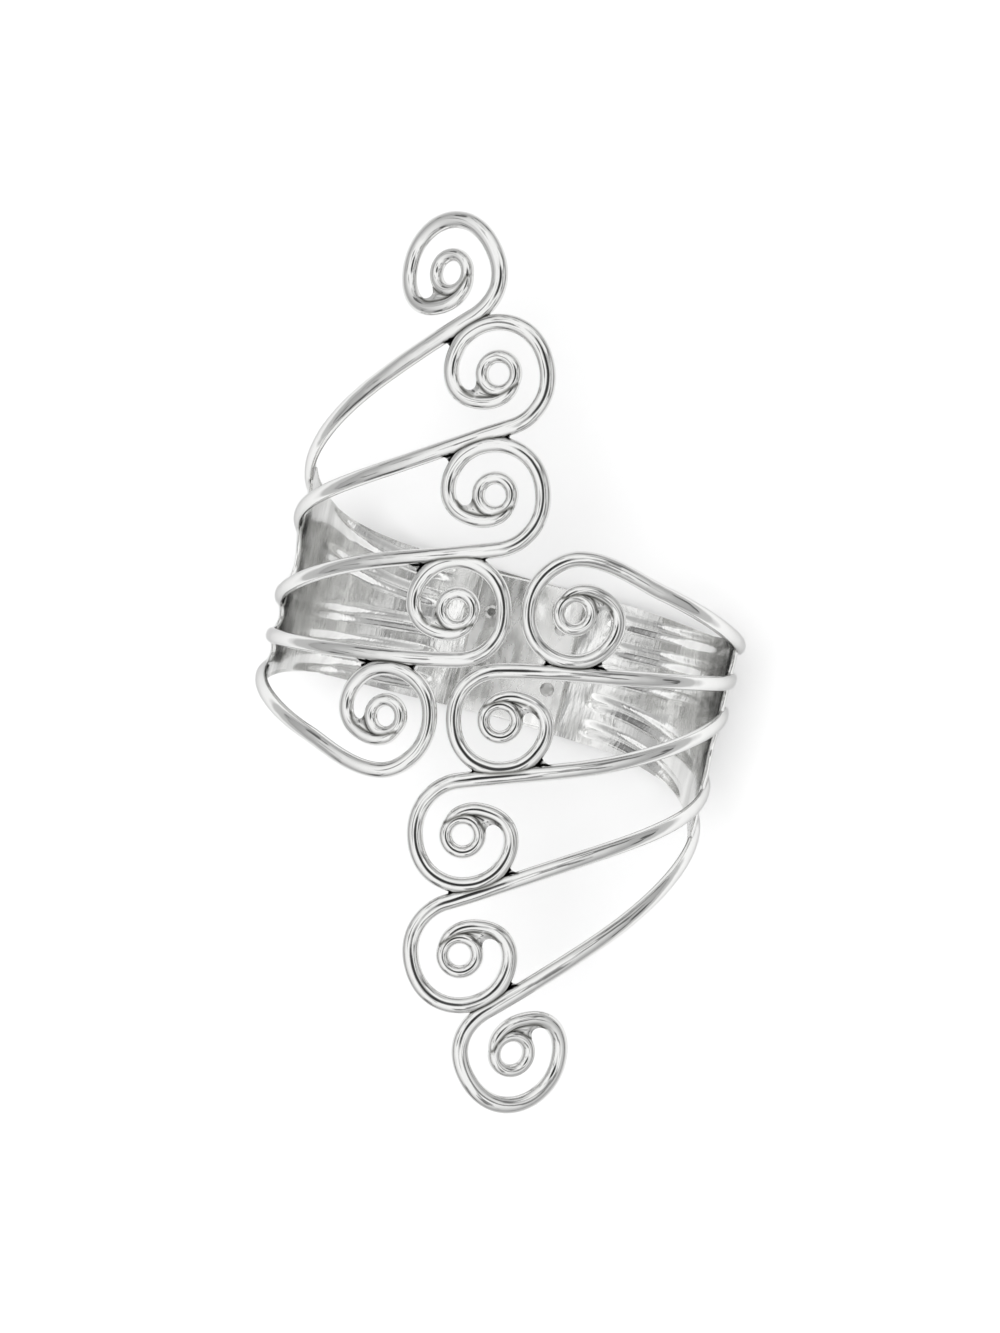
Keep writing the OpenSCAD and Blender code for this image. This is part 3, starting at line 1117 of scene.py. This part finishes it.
@dataclass
class Band:
    """The ribbed sheet of one half: ribs outside, grooves inside and crotches between the fingers.

    A column runs along the sheet. It is a rib's number and an offset in half rib widths, with a broken number
    between two ribs, and a number before the first or after the last rib at the sheet's edges.
    """

    lines: FingerLines
    wrapper: Wrapper
    metal: Metal
    rib_cuts: int = 14
    gap_cuts: int = 6
    rim_cuts: int = 5
    rows: int = 120
    round_rows: int = 5
    round_from: float = 0.1
    back_margin: float = 2.7 * MM
    side_margin: float = 0.7 * MM
    overlap: float = 1.2 * MM
    notch_share: float = 0.3
    rib_fullness: float = 0.75
    rib_fade: float = 5 * MM
    front_rib: float = 0.45
    front_share: float = 0.08
    groove_start: float = 8 * MM
    groove_fade: float = 14 * MM
    groove_share: float = 0.7
    outer_rise: float = 0.7
    # Rises on the faces: the inner face is painted darker towards the sides, as shade with some tarnish.
    side_rise: float = 0.1
    back_rise: float = 0.4
    side_share: float = 0.6

    @property
    def seam(self) -> float:
        """Distance round where the sheet ends, beside the back seam."""
        return -self.lines.oval.half + self.metal.seam_gap / 2

    def columns(self) -> list[Column]:
        """Lays out the columns across the sheet.

        Returns:
            The columns from the top edge to the lower one.
        """
        found: list[Column] = [(-1.0, k / self.rim_cuts) for k in range(self.rim_cuts)]
        for i in range(len(FINGERS)):
            found += [(float(i), 1 - 2 * k / self.rib_cuts) for k in range(self.rib_cuts + 1)]
            if i < len(FINGERS) - 1:
                found += [(i + k / self.gap_cuts, 0.0) for k in range(1, self.gap_cuts)]
        last = float(len(FINGERS))
        return found + [(last, (k + 1) / self.rim_cuts) for k in range(self.rim_cuts)]

    def edge(self, top: bool, around: Points) -> Points:
        """The line of the sheet's upper or lower edge.

        Args:
            top: Whether it is the upper edge.
            around: Distances round.

        Returns:
            The edge's distance along the arm at each.
        """
        lines, metal = self.lines, self.metal
        share = np.clip((around - lines.rib_end) / (-lines.oval.quarter - lines.rib_end), 0, 1)
        tab = np.clip((around - self.seam) / (lines.rib_end - self.seam), 0, 1)
        way = 1 if top else -1
        outer = lines.rib_y(FINGERS[0 if top else -1], around)
        outer = outer + way * mix(self.back_margin, self.side_margin, ease(share))
        return mix(way * metal.band_high / 2, outer, tab)

    def column_y(self, column: Column, around: Points) -> Points:
        """The line of a column.

        Args:
            column: The column.
            around: Distances round.

        Returns:
            The column's distance along the arm at each.
        """
        rib, offset = column
        lines, half = self.lines, self.metal.rib_wide / 2
        if rib < 0:
            return mix(self.edge(True, around), lines.rib_y(FINGERS[0], around) + half, offset)
        if rib >= len(FINGERS):
            return mix(lines.rib_y(FINGERS[-1], around) - half, self.edge(False, around), offset)
        low = int(rib)
        if rib == low:
            return lines.rib_y(FINGERS[low], around) + offset * half
        upper = lines.rib_y(FINGERS[low], around) - half
        lower = lines.rib_y(FINGERS[low + 1], around) + half
        return mix(upper, lower, rib - low)

    def notch(self, column: Column) -> float:
        """How far the front edge stands back in the crotch between two fingers.

        Args:
            column: The column.

        Returns:
            The distance round.
        """
        low = int(column[0])
        if column[0] == low:
            return 0.0
        gap = (FINGERS[low].side_up - FINGERS[low + 1].side_up) * self.metal.cuff_long / 2
        return self.notch_share * gap * sin(pi * (column[0] - low))

    def bump(self, column: Column) -> float:
        """How far up a rib a column lies.

        Args:
            column: The column.

        Returns:
            A share of the rib's height.
        """
        rib, offset = column
        on_rib = rib == int(rib) and 0 <= rib < len(FINGERS)
        return (0.5 + 0.5 * cos(pi * offset)) ** self.rib_fullness if on_rib else 0.0

    def build(self, finish: Material) -> Piece:
        """Makes the sheet.

        Args:
            finish: The material.

        Returns:
            A closed shell.
        """
        lines, ends = self.lines, self.round_rows
        front = -lines.oval.quarter + self.overlap
        share = np.linspace(0, 1, self.rows)
        rounding = np.sin(np.linspace(self.round_from, 1, ends) * pi / 2)
        thick = np.ones(self.rows)
        thick[:ends], thick[-ends:] = rounding, rounding[::-1]
        share[:ends] = np.linspace(0, share[ends] / 2, ends)
        share[-ends:] = 1 - share[:ends][::-1]
        middle = self.metal.sheet_thick / 2
        columns = self.columns()
        layers: tuple[list[Points], list[Points]] = ([], [])
        lifts: tuple[list[Points], list[Points]] = ([], [])
        for column in columns:
            around = mix(front - self.notch(column) * (1 - share) ** 2, self.seam, share)
            bump = self.bump(column)
            fade = ease((around - lines.rib_end) / self.rib_fade)
            rise = fade * mix(self.front_rib, 1.0, ease(share / self.front_share)) * bump
            hollow = ease((-lines.oval.quarter - self.groove_start - around) / self.groove_fade)
            dip = self.groove_share * fade * hollow * bump
            y = self.column_y(column, around)
            for layer, lifted, sign, lift in zip(layers, lifts, (1, -1), (rise, dip)):
                layer.append(np.stack([around, y, middle + sign * middle * thick], axis=1))
                lifted.append(lift)
        points = np.concatenate([np.array(layer).transpose(1, 0, 2).reshape(-1, 3) for layer in layers])
        # Painted shade with some tarnish on the inner face, darker towards the sides.
        inner_rise = mix(self.side_rise, self.back_rise, ease(share / self.side_share))
        rises = (np.full(self.rows, self.outer_rise), inner_rise)
        numbers = {
            "lift": np.concatenate([np.array(lifted).T.ravel() for lifted in lifts]),
            "rise": np.concatenate([np.repeat(rise, len(columns)) for rise in rises]),
        }
        piece = shape_object("band", points, [], slab_faces(self.rows, len(columns)), numbers)
        values = {"Material": finish, "Rib Height": self.metal.rib_high}
        return self.wrapper.run(piece, self.wrapper.sheet_tree, values)


def grey(tone: float, blue: float = 1.0) -> tuple[float, float, float, float]:
    """A grey of that tone, a little warmer where its blue is less than 1."""
    return (tone, tone, tone * blue, 1.0)


class FinishTree(Graph):
    """Builds the nodes of a material or of the surroundings."""

    def coordinates(self, kind: str) -> Socket:
        """Reads texture coordinates."""
        return self.add("ShaderNodeTexCoord").outputs[kind]

    def stored(self, name: str) -> Socket:
        """Reads a number stored on the surface."""
        return self.add("ShaderNodeAttribute", attribute_name=name).outputs["Fac"]

    def noise(self, place: Socket, scale: float, detail: int, stretch: Triple = (1.0, 1.0, 1.0)) -> Socket:
        """Adds a noise and returns its value.

        Args:
            place: The coordinates.
            scale: The noise's scale.
            detail: Its number of finer layers.
            stretch: Factors on the coordinates, small along an axis where marks are long.

        Returns:
            The noise's value.
        """
        mapped = self.add("ShaderNodeMapping", {"Vector": place, "Scale": stretch}).outputs[0]
        inputs = {"Vector": mapped, "Scale": scale, "Detail": detail}
        return self.add("ShaderNodeTexNoise", inputs).outputs["Fac"]

    def ranged(self, value: Socket, source: Range, target: Range) -> Socket:
        """Adds a change from one range to another and returns its result."""
        limits = dict(zip(("From Min", "From Max", "To Min", "To Max"), (*source, *target)))
        return self.add("ShaderNodeMapRange", {"Value": value, **limits}).outputs[0]

    def ramp(self, value: Socket, stops: Stops) -> Socket:
        """Adds a ramp of greys.

        Args:
            value: The place on the ramp.
            stops: A place and a tone for each stop.

        Returns:
            The ramp's color.
        """
        node = self.add("ShaderNodeValToRGB", {0: value})
        elements = node.color_ramp.elements
        for at, _ in stops[2:]:
            elements.new(at)
        for element, (at, tone) in zip(elements, stops):
            element.position = at
            element.color = grey(tone)
        return node.outputs[0]

    def blended(self, first: Feed, second: Feed, share: Feed, way: str = "MIX") -> Socket:
        """Adds a blend of two colors.

        Args:
            first: The color to start from.
            second: The color that is blended in.
            share: How far it is blended in, where more than 1 goes past it.
            way: How the colors are blended.

        Returns:
            The blended color.
        """
        inputs = {0: share, 6: first, 7: second}
        node = self.add("ShaderNodeMix", inputs, data_type="RGBA", blend_type=way, clamp_factor=False)
        return node.outputs[2]

    def bumped(self, heights: Sequence[tuple[Socket, float]]) -> Socket:
        """Adds a chain of bumps.

        Args:
            heights: A height from 0 to 1 and its depth in metres for each.

        Returns:
            The bumped normal.
        """
        normal: dict[str, Socket] = {}
        for height, depth in heights:
            node = self.add("ShaderNodeBump", {"Distance": depth, "Height": height, **normal})
            normal = {"Normal": node.outputs["Normal"]}
        return normal["Normal"]


@dataclass(frozen=True)
class SilverFinish:
    """A white metal finish: its tones, how sharply it reflects and how uneven its skin is.

    The skin, the rubbing and the streaks along a strand are depths in metres. The dark tone is painted shade
    with some tarnish: low on the metal, in clouds, and in inward folds. What ends in layers is how many
    finer noises are added to one.
    """

    name: str
    tone: float
    dark_tone: float
    sharp: float
    dull: float
    skin: float
    rubbing: float
    streaks: float = 0.0
    edge_tone: float = 0.6
    blues: Range = (0.99, 0.98)
    skin_scale: float = 240
    skin_layers: int = 1
    rubbing_scale: float = 2600
    rubbing_layers: int = 4
    rubbing_stretch: Triple = (1.0, 1.0, 1.0)
    streak_layers: int = 2
    streak_stretch: Triple = (5.0, 110.0, 1.0)
    shade_and_tarnish_scale: float = 90
    shade_and_tarnish_layers: int = 5
    shade_and_tarnish_least: float = 0.6
    low_range: Range = (0.0, 0.5)
    fold_range: Range = (0.1, 0.9)
    fold_shade_and_tarnish: float = 2.0
    noise_range: Range = (0.3, 0.7)

    def shade_and_tarnish(self, tree: FinishTree, place: Socket) -> Socket:
        """Adds how far the dark tone shows, as painted shade with some tarnish.

        Args:
            tree: The material's tree.
            place: The coordinates.

        Returns:
            A share, over 1 in the deepest folds.
        """
        clouds = tree.noise(place, self.shade_and_tarnish_scale, self.shade_and_tarnish_layers, self.rubbing_stretch)
        clouds = tree.ranged(clouds, self.noise_range, (self.shade_and_tarnish_least, 1.0))
        # Painted shade with some tarnish: darker low on the metal and near inward folds.
        deep = tree.ranged(tree.stored("rise"), self.low_range, (1.0, 0.0))
        folded = tree.ranged(tree.stored("crease"), self.fold_range, (0.0, self.fold_shade_and_tarnish))
        return tree.math("MAXIMUM", tree.math("MULTIPLY", deep, clouds), folded)

    def build(self) -> Material:
        """Makes the material.

        Returns:
            A material of nodes on Object coordinates and the numbers stored on the surface.
        """
        material = bpy.data.materials.new(self.name)
        material.use_nodes = True
        tree = FinishTree(material.node_tree)
        place = tree.coordinates("Object")
        cast = tree.noise(place, self.skin_scale, self.skin_layers)
        rubbed = tree.noise(place, self.rubbing_scale, self.rubbing_layers, self.rubbing_stretch)
        heights = [(cast, self.skin), (rubbed, self.rubbing)]
        if self.streaks:
            strand = tree.join(tree.stored("across"), tree.stored("along"), 0.0)
            streaked = tree.noise(strand, 1.0, self.streak_layers, self.streak_stretch)
            heights.append((streaked, self.streaks))
        tones = grey(self.tone, self.blues[0]), grey(self.dark_tone, self.blues[1])
        inputs = {
            "Metallic": 1.0,
            "Specular Tint": grey(self.edge_tone),
            "Base Color": tree.blended(*tones, self.shade_and_tarnish(tree, place)),
            "Roughness": tree.ranged(rubbed, self.noise_range, (self.sharp, self.dull)),
            "Normal": tree.bumped(heights),
        }
        tree.fill(material.node_tree.nodes["Principled BSDF"], inputs)
        return material


# Each finish's dark tone is painted shade with some tarnish, where the stored rise is low and near folds.
STRAND = SilverFinish("strand_polish", 0.81, 0.52, 0.03, 0.09, 0.1 * MM, 0.002 * MM, streaks=0.012 * MM)
BAND = SilverFinish(
    "band_polish", 0.96, 0.45, 0.07, 0.18, 0.6 * MM, 0.04 * MM, edge_tone=0.85, skin_scale=120,
    rubbing_scale=1500, rubbing_stretch=(1.0, 0.2, 1.0), shade_and_tarnish_scale=420, shade_and_tarnish_least=0.05,
)
# The web finish's very dark tone near the touch and in folds is painted shade, together with darkened solder.
SOLDER = SilverFinish("solder_joint", 0.86, 0.12, 0.12, 0.3, 0.2 * MM, 0.01 * MM)
PLATE = SilverFinish(
    "plate_polish", 0.98, 0.86, 0.12, 0.4, 0.5 * MM, 0.01 * MM, edge_tone=0.9, skin_scale=150,
    rubbing_scale=700, rubbing_stretch=(1.0, 0.3, 1.0),
)
RIVETS = SilverFinish("rivet_polish", 0.84, 0.5, 0.08, 0.2, 0.1 * MM, 0.004 * MM)


@dataclass
class BackJoint:
    """The plate on the inner side that bridges the seam, and its four rivet holes."""

    oval: Oval
    wrapper: Wrapper
    metal: Metal
    plate_rows: int = 60
    plate_columns: int = 40
    plate_margin: float = 0.1 * MM
    plate_rise: float = 0.6
    round_rows: int = 5
    round_by: float = 0.22 * MM
    round_from: float = 0.12
    drill_sides: int = 48
    drill_long: float = 8 * MM
    crease: float = radians(30)

    def rivet_matrix(self, half: Half, level: Level) -> Matrix:
        """Place of a rivet.

        Args:
            half: The half that it holds.
            level: Whether it is the upper or the lower one.

        Returns:
            A matrix with its origin on the inner face and its Z outward.
        """
        around = half.side * (self.oval.half - self.metal.rivet_round)
        along = level.sign * self.metal.rivet_up
        foot, out = (Vector(self.oval.skin(around, along, height)) for height in (0.0, MM))
        return Matrix.Translation(foot) @ (out - foot).to_track_quat("Z", "Y").to_matrix().to_4x4()

    def drill(self, half: Half, level: Level, finish: Material) -> Piece:
        """Makes the cutter for one hole.

        Args:
            half: The half that the rivet holds.
            level: Whether it is the upper or the lower rivet.
            finish: The material of the hole's wall.

        Returns:
            A closed shell.
        """
        work = bmesh.new()
        radius = self.metal.rivet_shank / 2 + self.metal.fit_gap
        bmesh.ops.create_cone(
            work,
            segments=self.drill_sides,
            radius1=radius,
            radius2=radius,
            depth=self.drill_long,
            cap_ends=True,
            matrix=self.rivet_matrix(half, level),
        )
        mesh = bpy.data.meshes.new("drill")
        work.to_mesh(mesh)
        work.free()
        mesh.materials.append(finish)
        return add_object("drill", mesh)

    def rounded(self, count: int) -> tuple[Points, Points]:
        """Places across a slab with rounded edges.

        Args:
            count: How many places.

        Returns:
            Places from -1 to 1, and the share of the full thickness at each.
        """
        ends = self.round_rows
        place = np.linspace(-1, 1, count)
        turn = np.linspace(self.round_from, 1, ends)
        edge = self.round_by / (self.metal.plate_wide / 2)
        place[:ends] = -1 + edge * (1 - np.cos(turn * pi / 2))
        place[-ends:] = -place[:ends][::-1]
        thick = np.ones(count)
        thick[:ends] = mix(1 - 2 * self.round_by / self.metal.plate_thick, 1.0, np.sin(turn * pi / 2))
        thick[-ends:] = thick[:ends][::-1]
        return place, thick

    def plate(self, finish: Material) -> Piece:
        """Makes the plate, with rounded edges and four holes.

        Args:
            finish: The material.

        Returns:
            A closed body.
        """
        metal = self.metal
        high = metal.band_high - 2 * self.plate_margin
        rows = self.rounded(self.plate_rows)
        columns = self.rounded(self.plate_columns)
        around = self.oval.half + rows[0] * metal.plate_wide / 2
        along = columns[0] * high / 2
        thick = np.minimum(rows[1][:, None], columns[1][None, :]) * metal.plate_thick / 2
        middle = -metal.fit_gap - metal.plate_thick / 2
        flat = np.stack(np.meshgrid(around, along, indexing="ij"), axis=2)
        rise = np.full_like(thick, self.plate_rise)
        piece = slab_object("plate", flat, middle + thick, middle - thick, rise)
        piece = self.wrapper.run(piece, self.wrapper.sheet_tree, {"Material": finish})
        drills = [self.drill(half, level, finish) for half in Half for level in Level]
        return combine("joining_plate_body", [piece, *drills], "DIFFERENCE", self.crease)


@dataclass
class HalfCuff:
    """One cast half of the cuff: its band, strands, eye rings and joints, fused into one body."""

    lines: FingerLines
    wrapper: Wrapper
    metal: Metal
    joint: BackJoint
    clear_of_band: float = 2 * MM
    crease: float = radians(40)

    def build(self) -> Piece:
        """Makes the left half.

        Returns:
            One closed body.
        """
        silver, brushed, solder = (finish.build() for finish in (STRAND, BAND, SOLDER))
        parts = self.lines, self.wrapper, self.metal
        band, strands, joints = Band(*parts).build(brushed), Strands(*parts), Joints(*parts)
        self.polish_outside(band, silver)
        shells = [band]
        for index in range(len(FINGERS)):
            shells.append(strands.strand(index, silver))
            shells.append(strands.eye_ring(index, silver))
            shells.append(joints.eye_fill(index, silver))
        shells += [joints.web(index, solder) for index in range(len(WEBS))]
        for shell in shells:
            LOG.info("shell %s has %d faces", shell.name, len(shell.data.polygons))
        body = combine(Half.LEFT.body, shells, "UNION", self.crease)
        drills = [self.joint.drill(Half.LEFT, level, silver) for level in Level]
        body = combine(Half.LEFT.body, [body, *drills], "DIFFERENCE", self.crease)
        # These fold marks make the finishes paint shade, with some tarnish, along the folds.
        mark_creases(body, self.lines.oval.centre_up + self.clear_of_band)
        return body

    @staticmethod
    def polish_outside(band: Piece, finish: Material, outside: float = 0.5) -> None:
        """Gives the outer side of the band another finish.

        Args:
            band: The band, with a rise stored at each point.
            finish: The finish of its outer side.
            outside: Least rise of a point on the outer side.
        """
        band.data.materials.append(finish)
        rise = [item.value for item in band.data.attributes["rise"].data]
        for polygon in band.data.polygons:
            polygon.material_index = int(all(rise[vertex] > outside for vertex in polygon.vertices))

    @staticmethod
    def turned(body: Piece) -> Piece:
        """Makes the other half, the same body turned half round.

        Args:
            body: The left half.

        Returns:
            One closed body.
        """
        mesh = body.data.copy()
        mesh.transform(Matrix.Rotation(Half.RIGHT.turn, 4, "Z"))
        return add_object(Half.RIGHT.body, mesh)


@dataclass(frozen=True)
class Studio:
    """A pale floor, soft light all round and the camera at the photo's angle to the cuff.

    The tones are stops of a place and a grey: of the walls by height, of the dark place where the camera
    stands by nearness to it, of the clouds by noise, and of the floor by distance from the middle in metres.
    """

    azimuth: float = radians(5.61)
    elevation: float = radians(3.74)
    roll: float = radians(13.5)
    distance: float = 0.55
    focal_pixels: float = 3595
    centre_pixels: tuple[float, float] = (500.6, 657.4)
    picture: tuple[int, int] = (1000, 1333)
    sensor: float = 36.0
    nearest: float = 0.01
    strength: float = 1.15
    lamp_energy: float = 1.58
    lamp_angle: float = radians(35)
    wall_tones: Stops = ((0.0, 0.4), (0.25, 0.48), (0.5, 0.74), (0.75, 0.98), (0.9, 1.0), (1.0, 1.0))
    spot_range: Range = (0.9, 1.0)
    spot_tones: Stops = ((0.0, 1.0), (0.3, 1.0), (0.62, 0.6), (0.8, 0.08), (1.0, 0.05))
    cloud_scale: float = 2.4
    cloud_layers: int = 2
    cloud_tones: Stops = ((0.0, 0.2), (0.4, 0.25), (0.47, 0.95), (1.0, 1.0))
    floor_half: float = 1.5
    floor_rough: float = 0.9
    floor_gloss: float = 0.1
    floor_tones: Stops = ((0.0, 0.93), (0.125, 0.93), (0.21, 0.5), (1.0, 0.45))

    @property
    def back(self) -> Vector:
        """Direction from the cuff to the camera."""
        az, el = self.azimuth, self.elevation
        return Vector((sin(az) * cos(el), sin(el), cos(az) * cos(el)))

    def camera(self, target: Vector) -> None:
        """Makes the camera and aims it.

        Args:
            target: The cuff's middle.
        """
        back = self.back
        level = Vector((0, 1, 0)).cross(back).normalized()
        over = back.cross(level)
        right = level * cos(self.roll) + over * sin(self.roll)
        up = over * cos(self.roll) - level * sin(self.roll)
        data = bpy.data.cameras.new("camera")
        wide, high = self.picture
        data.sensor_width = self.sensor
        data.lens = self.focal_pixels / high * self.sensor
        data.shift_x = (wide / 2 - self.centre_pixels[0]) / high
        data.shift_y = (self.centre_pixels[1] - high / 2) / high
        data.clip_start = self.nearest
        camera = add_object("camera", data)
        turn = Matrix((right, up, back)).transposed().to_4x4()
        camera.matrix_world = Matrix.Translation(target + back * self.distance) @ turn
        bpy.context.scene.camera = camera

    def floor(self) -> None:
        """Makes the pale floor, a plain grid whose tone fades far from the cuff."""
        work = bmesh.new()
        bmesh.ops.create_grid(work, x_segments=1, y_segments=1, size=self.floor_half)
        mesh = bpy.data.meshes.new("floor")
        work.to_mesh(mesh)
        work.free()
        floor = add_object("floor", mesh)
        material = bpy.data.materials.new("pale_floor")
        material.use_nodes = True
        tree = FinishTree(material.node_tree)
        reach = tree.measure("LENGTH", tree.coordinates("Object"))
        inputs = {
            "Base Color": tree.ramp(reach, self.floor_tones),
            "Roughness": self.floor_rough,
            "Specular IOR Level": self.floor_gloss,
        }
        tree.fill(material.node_tree.nodes["Principled BSDF"], inputs)
        mesh.materials.append(material)

    def world(self) -> None:
        """Makes the surroundings: a bright sky, greyer walls and the dark place where the camera stands."""
        world = bpy.data.worlds.new("studio")
        bpy.context.scene.world = world
        world.use_nodes = True
        tree = FinishTree(world.node_tree)
        place = tree.coordinates("Generated")
        near = tree.ranged(tree.measure("DOT_PRODUCT", place, self.back), self.spot_range, (0.0, 1.0))
        clouds = tree.noise(place, self.cloud_scale, self.cloud_layers)
        color = tree.ramp(tree.split(place)["Z"], self.wall_tones)
        for value, tones in ((near, self.spot_tones), (clouds, self.cloud_tones)):
            color = tree.blended(color, tree.ramp(value, tones), 1.0, "MULTIPLY")
        tree.fill(world.node_tree.nodes["Background"], {"Color": color, "Strength": self.strength})

    def lamp(self) -> None:
        """Makes a soft lamp that lifts the floor to white and isn't seen in the metal."""
        data = bpy.data.lights.new("floor_lamp", "SUN")
        data.energy = self.lamp_energy
        data.angle = self.lamp_angle
        add_object("floor_lamp", data).visible_glossy = False

    def build(self, target: Vector) -> None:
        """Makes the whole stage.

        Args:
            target: The cuff's middle.
        """
        self.camera(target)
        self.floor()
        self.world()
        self.lamp()
        bpy.context.scene.view_settings.view_transform = "Standard"


def main() -> None:
    """Builds the cuff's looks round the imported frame."""
    logging.basicConfig(level=logging.INFO, format="%(name)s: %(message)s")
    metal = Metal()
    oval = Oval.from_frame(metal)
    LOG.info("oval of %.5f by %.5f, centre at %.5f", oval.half_wide, oval.half_deep, oval.centre_up)
    Studio().build(Vector((0, 0, oval.centre_up)))
    wrapper = Wrapper(oval)
    joint = BackJoint(oval, wrapper, metal)
    maker = HalfCuff(FingerLines(oval, metal), wrapper, metal, joint)
    left = maker.build()
    right = maker.turned(left)
    plate = joint.plate(PLATE.build())
    bpy.data.objects.remove(wrapper.rail)
    dressed = (
        (left, "polished_silver", "left_half"),
        (right, "polished_silver", "right_half"),
        (plate, "plate_silver", "joining_plate"),
    )
    for piece, slot_name, node in dressed:
        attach(piece, "root")
        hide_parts(node)
        LOG.info("piece %s has %d faces", piece.name, len(piece.data.polygons))
    rivets = RIVETS.build()
    for name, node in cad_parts.items():
        if not node.hide_render:
            node.data.materials.clear()
            node.data.materials.append(rivets)
            LOG.info("piece %s has %d faces", name, len(node.data.polygons))


if __name__ == "__main__":
    main()
